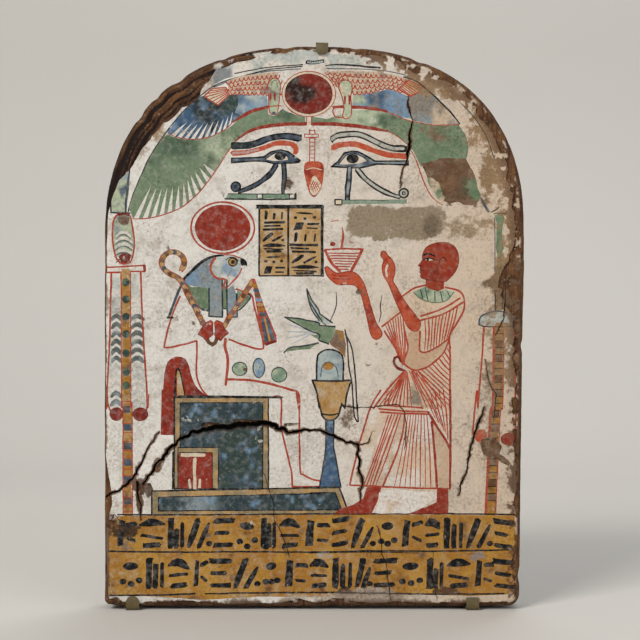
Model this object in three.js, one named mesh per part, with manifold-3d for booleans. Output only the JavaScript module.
// A painted wooden stele with a round top, held in a brazed strap cradle.
//
// The board is one plank, coated on its face with a thin layer of gesso that has broken away
// along the edges and in two patches, and split by one wide crack and several narrow ones.
// The cradle is one brazed piece: a spine and a cross bar behind the board, and three fingers
// that wrap its edges. The two lower fingers pass under the board, so it stands on them.
//
// Millimetres, +Z up. The painted face looks along -Y. The origin lies on the surface that the
// cradle stands on, under the middle of the whole object.

import * as THREE from "three";
import { mergeVertices } from "three/addons/utils/BufferGeometryUtils.js";
import Module from "manifold-3d";

const wasm = await Module();
wasm.setup();

// Driving dimensions of the board.
const WIDTH = 225;
const HEIGHT = 300;
const THICKNESS = 26;
const EDGE_RADIUS = 3;
const EDGE_SEGMENTS = 3;
const SPRING_HEIGHT = 197; // where the straight sides end and the round top starts
const LEFT_FULLNESS = 2.35; // exponent of the round top, 2 for an ellipse and more for a boxier arch
const RIGHT_FULLNESS = 2.5;
const RIGHT_LEAN = 2.8; // how far the right side draws in at its foot
const LEFT_FOOT_RADIUS = 4.2;
const RIGHT_FOOT_RADIUS = 6.5;
const OUTLINE_STEP = 5.5;
const GESSO = 0.8; // thickness of the coat over the wood
const COAT_BED = 1.2; // how far the coat's solid reaches into the wood
const COAT_BEVEL = 0.3;

// Driving dimensions of the cradle.
const STRAP = 1.2; // thickness of the metal strap
const GAP = 0.3; // air between strap and board
const SPINE_WIDTH = 9;
const BAR_HEIGHT = 9;
const BAR_MIDDLE = 46; // height of the cross bar's middle line
const BEND_SEGMENTS = 5;
const TONGUE_SEGMENTS = 8;

const HALF_DEPTH = THICKNESS / 2;
const BOARD_FOOT = STRAP + GAP;
const FACE_Y = -HALF_DEPTH;

// The three fingers: the middle of each in X, its width, how far its tongue laps over the face,
// and how round the tongue's end is, from 0 for square to 1 for a half circle.
const FINGERS = {
  top: { x: 4, width: 6.6, lap: 5.2, roundness: 0.7 },
  lowerLeft: { x: -97, width: 7.2, lap: 6.2, roundness: 1 },
  lowerRight: { x: 84.3, width: 6.8, lap: 5.4, roundness: 0.15 },
};

// How wide the bare band along the edge is, at points along the outline. Each row is the distance
// from the left foot, going up the left side and round, and the width of the bare band there.
const BARE_BAND = [
  [0, 2.4], [14, 1.7], [38, 1.8], [50, 5], [62, 3.8], [76, 1.7], [150, 1.6], [190, 2],
  [208, 4], [228, 8], [256, 12.5], [286, 13], [312, 11.5], [332, 10], [346, 7.5], [354, 2.6],
  [378, 3], [384, 2.4], [396, 3.4], [410, 3], [419, 2.2], [423, 7.5], [436, 5.5], [452, 4],
  [466, 6], [492, 7], [518, 6], [540, 5], [560, 5.5], [570, 6.5], [578, 12], [598, 12.5],
  [606, 7], [620, 4], [636, 6.5], [652, 4], [672, 3], [700, 3.2], [716, 5], [730, 3],
  [764, 2.6], [780, 2.2], [790, 2], [806, 4.6], [818, 2], [830, 7], [854, 8.5], [866, 2],
  [896, 1.7], [904, 4], [938, 3.4], [946, 1.7], [954, 5], [966, 2.4],
];
const BAND_RIPPLE = 0.7;

// Bare patches inside the face: middle, half sizes, and the phase of the ragged outline.
const PATCHES = [
  { x: 93.8, z: 85.6, halfWidth: 5.6, halfHeight: 6.6, phase: 0.4 },
  { x: 94.5, z: 167, halfWidth: 8, halfHeight: 5, phase: 2.1 },
];

// Small bites out of the worn outer edge: where each is on the outline, in the same distance
// from the left foot, and its radius.
const BITES = [
  [262, 3.2], [276, 2.4], [291, 3.6], [318, 2.2], [352, 2.8], [389, 2.4], [424, 3],
  [601, 2.6], [724, 3], [838, 2.4], [956, 3],
];
const BITE_DEPTH = 0.45; // share of a bite's radius that goes into the wood
const BITE_SEGMENTS = 8;

// Cracks as chains of points on the face: x, z and the width of the gap there.
const CRACKS = {
  main: {
    depth: 7,
    line: [
      [-91.4, 65.5, 0.7], [-87.6, 70.8, 1.1], [-83.8, 77, 1.3], [-78.4, 83.1, 1.6],
      [-73.8, 88.1, 1.3], [-65.4, 93, 1.8], [-56.2, 95.7, 3.2], [-41.7, 96.9, 3.6],
      [-26.4, 98.4, 2.8], [-19.5, 95.7, 2.4], [-14.1, 93.8, 1.8], [-7.3, 93.8, 1.5],
      [2.7, 94.6, 1.2], [7.6, 92.3, 1.3], [12.9, 90.7, 1.3], [15.9, 87.7, 1], [22.9, 87.1, 1],
      [23.3, 79.2, 1.1], [24.4, 73.1, 1], [25.8, 67, 0.9], [24.5, 62.4, 0.6], [24.4, 57.1, 0.3],
    ],
  },
  leftEdge: {
    depth: 4,
    line: [
      [-114, 56.5, 1.2], [-109.8, 60.5, 1.1], [-102.9, 63.2, 1], [-99.1, 66.2, 1.4],
      [-96.8, 69.3, 1.3], [-91.4, 77.7, 0.8], [-88, 86.6, 0.6], [-82.7, 93.8, 0.3],
    ],
  },
  leftFoot: {
    depth: 2.5,
    line: [[-94.1, 67, 2.4], [-94.9, 60.9, 1.9], [-92.2, 54.8, 1.3], [-93, 47.1, 0.6]],
  },
  crown: {
    depth: 4,
    line: [
      [50, 272.4, 0.5], [49.2, 268.3, 0.9], [51.1, 262.2, 0.8], [52.2, 260.7, 0.5],
      [51.1, 254, 1.1], [50.3, 244.3, 1.7], [49.2, 239, 1.1], [47, 233.1, 0.6], [45.5, 223.4, 0.3],
    ],
  },
  rightFoot: {
    depth: 3,
    line: [
      [90.6, 107.2, 0.4], [87.9, 99.1, 1.3], [84.9, 90.7, 0.9], [82.6, 81.5, 0.8],
      [81, 70.8, 0.7], [78, 66.2, 0.9], [77.2, 59.4, 0.4],
    ],
  },
};
const CRACK_FLOOR_SHARE = 0.3; // width of a crack at its bottom, as a share of its mouth
const CRACK_MOUTH = 2; // how far the cutting wedge stands out of the face

const CLEAN_TOLERANCE = 0.05; // slivers thinner than this are merged away after the cuts

const add = (a, b) => a + b;
const lerp = (a, b, t) => a + (b - a) * t;
const ripple = (s, phase) => 0.6 * Math.sin(s / 7.3 + phase) + 0.4 * Math.sin(s / 3.1 + 2 * phase);

// A value read off a table of [position, value] rows, in straight lines between them.
function readTable(rows, at) {
  const next = rows.findIndex(([position]) => position > at);
  if (next < 0) return rows[rows.length - 1][1];
  if (next === 0) return rows[0][1];
  const [[s0, v0], [s1, v1]] = [rows[next - 1], rows[next]];
  return lerp(v0, v1, (at - s0) / (s1 - s0));
}

// One half of the round top, from the spring line at angle 0 to the crown at a right angle.
function archPoint(angle, fullness) {
  return [
    (WIDTH / 2) * Math.cos(angle) ** (2 / fullness),
    SPRING_HEIGHT + (HEIGHT - SPRING_HEIGHT) * Math.sin(angle) ** (2 / fullness),
  ];
}

// Even steps along a polyline, given as [x, z] points; both ends are kept.
function resample(points, step) {
  const lengths = points.slice(1).map(([x, z], i) => Math.hypot(x - points[i][0], z - points[i][1]));
  const total = lengths.reduce(add, 0);
  const count = Math.max(1, Math.round(total / step));
  const out = [];
  let [segment, before] = [0, 0];
  for (let i = 0; i <= count; i++) {
    const at = (total * i) / count;
    while (segment < lengths.length - 1 && at > before + lengths[segment]) {
      before += lengths[segment];
      segment += 1;
    }
    const t = Math.min(1, (at - before) / lengths[segment]);
    const [a, b] = [points[segment], points[segment + 1]];
    out.push([lerp(a[0], b[0], t), lerp(a[1], b[1], t)]);
  }
  return out;
}

// A rounded foot corner, from the side to the underside or back.
function footCorner(cornerX, radius, outward, fromSide) {
  const steps = 4;
  const points = [];
  for (let i = 0; i <= steps; i++) {
    const t = (fromSide ? i : steps - i) / steps;
    const angle = (Math.PI / 2) * t;
    points.push([
      cornerX - outward * radius * (1 - Math.cos(angle)),
      radius * (1 - Math.sin(angle)),
    ]);
  }
  return points;
}

// The board's outline seen from the front, from the left foot up, over and down, in the plane of
// the face with its underside at height 0. It is closed, and its last point isn't repeated.
function boardOutline() {
  const archSteps = 48;
  const left = [];
  const right = [];
  for (let i = 0; i <= archSteps; i++) {
    const angle = (Math.PI / 2) * (i / archSteps);
    const [leftX, leftZ] = archPoint(angle, LEFT_FULLNESS);
    left.push([-leftX, leftZ]);
    right.unshift(archPoint(angle, RIGHT_FULLNESS));
  }
  const rightFootX = WIDTH / 2 - RIGHT_LEAN;
  const up = [[-WIDTH / 2, LEFT_FOOT_RADIUS], ...left, ...right.slice(1)];
  const around = resample([...up, [rightFootX, RIGHT_FOOT_RADIUS]], OUTLINE_STEP);
  const underside = resample(
    [[rightFootX - RIGHT_FOOT_RADIUS, 0], [-WIDTH / 2 + LEFT_FOOT_RADIUS, 0]],
    OUTLINE_STEP,
  );
  return [
    ...around,
    ...footCorner(rightFootX, RIGHT_FOOT_RADIUS, 1, true).slice(1, -1),
    ...underside,
    ...footCorner(-WIDTH / 2, LEFT_FOOT_RADIUS, -1, false).slice(1, -1),
  ];
}

// The distance of each outline point from the left foot, along the outline.
function distancesAlong(outline) {
  const out = [0];
  for (let i = 1; i < outline.length; i++) {
    const [[x0, z0], [x1, z1]] = [outline[i - 1], outline[i]];
    out.push(out[i - 1] + Math.hypot(x1 - x0, z1 - z0));
  }
  return out;
}

// The outline moved inwards by a distance that may differ from point to point.
function inset(outline, distanceAt) {
  return outline.map(([x, z], i) => {
    const [px, pz] = outline[(i + outline.length - 1) % outline.length];
    const [nx, nz] = outline[(i + 1) % outline.length];
    const length = Math.hypot(nx - px, nz - pz);
    const d = distanceAt(i);
    return [x + ((nz - pz) / length) * d, z - ((nx - px) / length) * d];
  });
}

const shapeOf = (points) => new THREE.Shape(points.map(([x, z]) => new THREE.Vector2(x, z)));

// A closed three.js geometry as a solid that can be joined and cut.
function solidOf(geometry) {
  const bare = new THREE.BufferGeometry();
  bare.setAttribute("position", geometry.getAttribute("position"));
  if (geometry.index) bare.setIndex(geometry.index);
  const merged = mergeVertices(bare, 1e-3);
  return new wasm.Manifold(
    new wasm.Mesh({
      numProp: 3,
      vertProperties: new Float32Array(merged.attributes.position.array),
      triVerts: new Uint32Array(merged.index.array),
    }),
  );
}

function geometryOf(solid) {
  const { vertProperties, triVerts } = solid.getMesh();
  const geometry = new THREE.BufferGeometry();
  geometry.setAttribute("position", new THREE.BufferAttribute(vertProperties, 3));
  geometry.setIndex(new THREE.BufferAttribute(triVerts, 1));
  geometry.computeVertexNormals();
  return geometry;
}

// A flat shape in X and Z made into a plate from backY forwards to frontY, which is the lower Y.
function plate(points, frontY, backY, bevel = 0, bevelSegments = 0) {
  const geometry = new THREE.ExtrudeGeometry(shapeOf(points), {
    depth: backY - frontY - 2 * bevel,
    bevelEnabled: bevel > 0,
    bevelThickness: bevel,
    bevelSize: bevel,
    bevelOffset: -bevel,
    bevelSegments,
    steps: 1,
  });
  geometry.rotateX(Math.PI / 2);
  geometry.translate(0, backY - bevel, 0);
  return solidOf(geometry);
}

const onBoard = ([x, z]) => [x, z + BOARD_FOOT];

// The plank of bare wood, with its edges worn round.
function plank(outline) {
  return plate(outline.map(onBoard), FACE_Y + GESSO, HALF_DEPTH, EDGE_RADIUS, EDGE_SEGMENTS);
}

// The coat of gesso on the face, bedded into the plank, without the bare band and patches.
function gessoCoat(outline) {
  const along = distancesAlong(outline);
  const coated = inset(outline, (i) => {
    const width = readTable(BARE_BAND, along[i]);
    return width + BAND_RIPPLE * ripple(along[i], 0.7) * Math.min(1, width / 4);
  });
  let coat = plate(coated.map(onBoard), FACE_Y, FACE_Y + GESSO + COAT_BED, COAT_BEVEL, 1);
  for (const patch of PATCHES) {
    coat = coat.subtract(plate(raggedOval(patch), FACE_Y - 1, FACE_Y + GESSO + 2 * COAT_BED));
  }
  return coat;
}

// A ragged oval, for a patch where the gesso has flaked off.
function raggedOval({ x, z, halfWidth, halfHeight, phase }) {
  const count = 26;
  const points = [];
  for (let i = 0; i < count; i++) {
    const angle = (2 * Math.PI * i) / count;
    const swell = 1 + 0.16 * Math.sin(3 * angle + phase) + 0.1 * Math.sin(7 * angle + 3 * phase);
    points.push([
      x + halfWidth * swell * Math.cos(angle),
      z + BOARD_FOOT + halfHeight * swell * Math.sin(angle),
    ]);
  }
  return points;
}

// A tapering wedge along a crack's line: as wide as the gap at the face, and narrow at its floor.
function crackWedge({ line, depth }) {
  const sides = (share) => {
    const edge = (side) =>
      line.map(([x, z, width], i) => {
        const [px, pz] = line[Math.max(0, i - 1)];
        const [nx, nz] = line[Math.min(line.length - 1, i + 1)];
        const length = Math.hypot(nx - px, nz - pz);
        const half = (side * width * share) / 2;
        return [x - ((nz - pz) / length) * half, z + ((nx - px) / length) * half + BOARD_FOOT];
      });
    return [...edge(1), ...edge(-1).reverse()];
  };
  const mouth = sides(1);
  const floor = sides(CRACK_FLOOR_SHARE);
  const count = mouth.length;
  const positions = [
    ...mouth.flatMap(([x, z]) => [x, FACE_Y - CRACK_MOUTH, z]),
    ...mouth.flatMap(([x, z]) => [x, FACE_Y + GESSO, z]),
    ...floor.flatMap(([x, z]) => [x, FACE_Y + depth, z]),
  ];
  const cap = [];
  const half = line.length;
  for (let i = 0; i < half - 1; i++) {
    const [a, b, c, d] = [i, i + 1, count - 2 - i, count - 1 - i];
    cap.push([a, d, b], [b, d, c]);
  }
  const index = [];
  for (const [a, b, c] of cap) {
    index.push(a, b, c, a + 2 * count, c + 2 * count, b + 2 * count);
  }
  for (let ring = 0; ring < 2; ring++) {
    for (let i = 0; i < count; i++) {
      const [a, b] = [ring * count + i, ring * count + ((i + 1) % count)];
      index.push(a, b, a + count, b, b + count, a + count);
    }
  }
  const geometry = new THREE.BufferGeometry();
  geometry.setAttribute("position", new THREE.Float32BufferAttribute(positions, 3));
  geometry.setIndex(index);
  return solidOf(geometry);
}

// The body itself, without the crumbs that a cut leaves loose.
function largestPiece(solid) {
  return solid.decompose().reduce((best, piece) => (piece.volume() > best.volume() ? piece : best));
}

// A small round bite out of the front edge.
function edgeBite(outline, along, [distance, radius]) {
  const i = Math.max(0, along.findIndex((s) => s >= distance));
  const [x, z] = inset(outline, () => -radius * (1 - BITE_DEPTH))[i];
  const ball = new THREE.SphereGeometry(radius, BITE_SEGMENTS, BITE_SEGMENTS / 2);
  ball.scale(1, 1.6, 1);
  ball.translate(x, FACE_Y + radius, z + BOARD_FOOT);
  return solidOf(ball);
}

function makeBoard() {
  const outline = boardOutline();
  const along = distancesAlong(outline);
  let board = plank(outline).add(gessoCoat(outline));
  for (const crack of Object.values(CRACKS)) board = board.subtract(crackWedge(crack));
  for (const bite of BITES) board = board.subtract(edgeBite(outline, along, bite));
  return largestPiece(board.simplify(CLEAN_TOLERANCE));
}

// A quarter bend of strap in Y and Z about a middle point, from one angle to the next.
function bend(middleY, middleZ, radius, fromAngle, toAngle) {
  const points = [];
  for (let i = 0; i <= BEND_SEGMENTS; i++) {
    const angle = lerp(fromAngle, toAngle, i / BEND_SEGMENTS);
    points.push([middleY + radius * Math.cos(angle), middleZ + radius * Math.sin(angle)]);
  }
  return points;
}

// A strip of strap of the given width in X whose profile in Y and Z is a closed outline.
function strip(profile, x, width) {
  const geometry = new THREE.ExtrudeGeometry(shapeOf(profile), {
    depth: width,
    bevelEnabled: false,
    steps: 1,
  });
  geometry.rotateZ(Math.PI / 2);
  geometry.rotateY(Math.PI / 2);
  geometry.translate(x - width / 2, 0, 0);
  return solidOf(geometry);
}

// The tongue that laps over the face, drawn pointing up from height 0.
function tongueOutline({ width, lap, roundness }) {
  const radius = Math.max(0.5, (roundness * width) / 2);
  const points = [[-width / 2, 0], [width / 2, 0]];
  for (const [side, from, to] of [[1, 0, Math.PI / 2], [-1, Math.PI / 2, Math.PI]]) {
    for (let i = 0; i <= TONGUE_SEGMENTS; i++) {
      const angle = lerp(from, to, i / TONGUE_SEGMENTS);
      points.push([
        side * (width / 2 - radius) + radius * Math.cos(angle),
        lap - radius + radius * Math.sin(angle),
      ]);
    }
  }
  return points;
}

const INNER = HALF_DEPTH + GAP; // from the middle plane to the strap's inner side
const OUTER = INNER + STRAP;

// A finger that comes down behind the board, passes under it and turns up over the face.
function lowerFinger(finger) {
  const outerBend = 2.4;
  const innerBend = outerBend - STRAP;
  const quarter = Math.PI / 2;
  const profile = [
    [OUTER, BAR_MIDDLE],
    ...bend(OUTER - outerBend, outerBend, outerBend, 0, -quarter),
    ...bend(-OUTER + outerBend, outerBend, outerBend, -quarter, -2 * quarter),
    [-OUTER, BOARD_FOOT + 1],
    [-INNER, BOARD_FOOT + 1],
    ...bend(-OUTER + outerBend, outerBend, innerBend, -2 * quarter, -quarter),
    ...bend(OUTER - outerBend, outerBend, innerBend, -quarter, 0),
    [INNER, BAR_MIDDLE],
  ];
  const tongue = tongueOutline(finger).map(([x, z]) => [x + finger.x, z + BOARD_FOOT]);
  return strip(profile, finger.x, finger.width).add(plate(tongue, -OUTER, -INNER));
}

// The top finger: the spine's upper end, bent over the crown and down over the face.
function topFinger(finger) {
  const crown = BOARD_FOOT + HEIGHT + GAP + STRAP;
  const outerBend = 2.4;
  const innerBend = outerBend - STRAP;
  const quarter = Math.PI / 2;
  const profile = [
    [INNER, BAR_MIDDLE],
    ...bend(OUTER - outerBend, crown - outerBend, innerBend, 0, quarter),
    ...bend(-OUTER + outerBend, crown - outerBend, innerBend, quarter, 2 * quarter),
    [-INNER, BOARD_FOOT + HEIGHT - 1.5],
    [-OUTER, BOARD_FOOT + HEIGHT - 1.5],
    ...bend(-OUTER + outerBend, crown - outerBend, outerBend, 2 * quarter, quarter),
    ...bend(OUTER - outerBend, crown - outerBend, outerBend, quarter, 0),
    [OUTER, BAR_MIDDLE],
  ];
  const tongue = tongueOutline(finger).map(([x, z]) => [x + finger.x, BOARD_FOOT + HEIGHT - z]);
  return strip(profile.reverse(), finger.x, finger.width).add(
    plate(tongue.reverse(), -OUTER, -INNER),
  );
}

function makeCradle() {
  const { top, lowerLeft, lowerRight } = FINGERS;
  const low = BAR_MIDDLE - BAR_HEIGHT / 2;
  const high = BAR_MIDDLE + BAR_HEIGHT / 2;
  const barStart = lowerLeft.x - lowerLeft.width / 2;
  const barEnd = lowerRight.x + lowerRight.width / 2;
  const bar = plate([[barStart, low], [barEnd, low], [barEnd, high], [barStart, high]], INNER, OUTER);
  const spineTop = BOARD_FOOT + HEIGHT - 25;
  const half = SPINE_WIDTH / 2;
  const taper = top.width / 2;
  const spine = plate(
    [
      [top.x - half, low], [top.x + half, low], [top.x + half, spineTop],
      [top.x + taper, spineTop + 6], [top.x - taper, spineTop + 6], [top.x - half, spineTop],
    ],
    INNER,
    OUTER,
  );
  return bar
    .add(spine)
    .add(topFinger(top))
    .add(lowerFinger(lowerLeft))
    .add(lowerFinger(lowerRight));
}

function namedMesh(name, solid, material) {
  const mesh = new THREE.Mesh(geometryOf(solid), material);
  mesh.name = name;
  return mesh;
}

const paintedGesso = new THREE.MeshStandardMaterial({ color: 0xcfc1ab, roughness: 0.85, metalness: 0 });
const olivePaintedBrass = new THREE.MeshStandardMaterial({ color: 0x6e5f38, roughness: 0.5, metalness: 0.3 });

const stele = new THREE.Group();
stele.add(namedMesh("stele_board", makeBoard(), paintedGesso));
stele.add(namedMesh("mount_cradle", makeCradle(), olivePaintedBrass));

export default stele;
